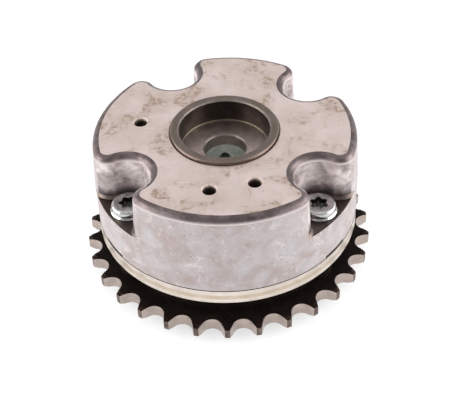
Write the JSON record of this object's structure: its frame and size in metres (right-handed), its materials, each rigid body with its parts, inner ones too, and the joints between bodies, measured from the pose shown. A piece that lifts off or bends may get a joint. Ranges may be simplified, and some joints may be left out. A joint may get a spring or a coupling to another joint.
{
  "type": "camshaft gear",
  "caption": "Camshaft gear of the vane type: lobed cast housing bolted to a roller-chain sprocket, with a vane rotor that turns a few degrees inside it.",
  "frame": {"origin": "on the camshaft axis, at the rear hub's end face (the bottom of the bounding box)", "axes": "+Z along the camshaft axis toward the lobed front face; -Y is the side that faces the picture's camera; azimuths run about +Z from +X"},
  "size_m": [0.0928, 0.093, 0.0477],
  "materials": {
    "sprocket_black": "black oxide, dull, ground bright on the tooth seats and the plate rim",
    "housing_cast": "fine cast and machined aluminium, lightly stained",
    "rotor_aluminium": "machined aluminium",
    "bushing_steel": "turned hardened steel, brown-grey",
    "pin_steel": "ground steel",
    "spring_steel": "drawn spring steel",
    "bolt_zinc": "bright zinc plating",
    "seal_resin": "filled resin"
  },
  "bodies": {
    "housing_side": {"sprocket": "sprocket_black", "housing": "housing_cast", "housing_dowel": "pin_steel", "lock_ring": "pin_steel", "housing_bolt_1": "bolt_zinc", "housing_bolt_2": "bolt_zinc", "housing_bolt_3": "bolt_zinc", "housing_bolt_4": "bolt_zinc", "shoe_seal_1": "seal_resin", "shoe_seal_2": "seal_resin", "shoe_seal_3": "seal_resin", "shoe_seal_4": "seal_resin", "shoe_leaf_1": "spring_steel", "shoe_leaf_2": "spring_steel", "shoe_leaf_3": "spring_steel", "shoe_leaf_4": "spring_steel"},
    "rotor_side": {"vane_rotor": "rotor_aluminium", "front_bushing": "bushing_steel", "lock_pin_guide": "pin_steel", "lock_pin_cap": "pin_steel", "lock_pin_spring": "spring_steel", "vane_seal_1": "seal_resin", "vane_seal_2": "seal_resin", "vane_seal_3": "seal_resin", "vane_seal_4": "seal_resin", "vane_leaf_1": "spring_steel", "vane_leaf_2": "spring_steel", "vane_leaf_3": "spring_steel", "vane_leaf_4": "spring_steel"},
    "pin": {"lock_pin": "pin_steel"}
  },
  "joints": [
    {"name": "rotor_turn", "type": "hinge", "parent": "housing_side", "child": "rotor_side", "pos_m": [0, 0, 0], "axis": [0, 0, 1], "range_deg": [-12.5, 12.5]},
    {"name": "lock_pin_slide", "type": "slide", "parent": "rotor_side", "child": "pin", "axis": [0, 0, 1], "range_m": [0, 0.0012], "stiffness_N_per_m": 800, "springref_m": -0.006, "deforming": ["lock_pin_spring"]}
  ]
}
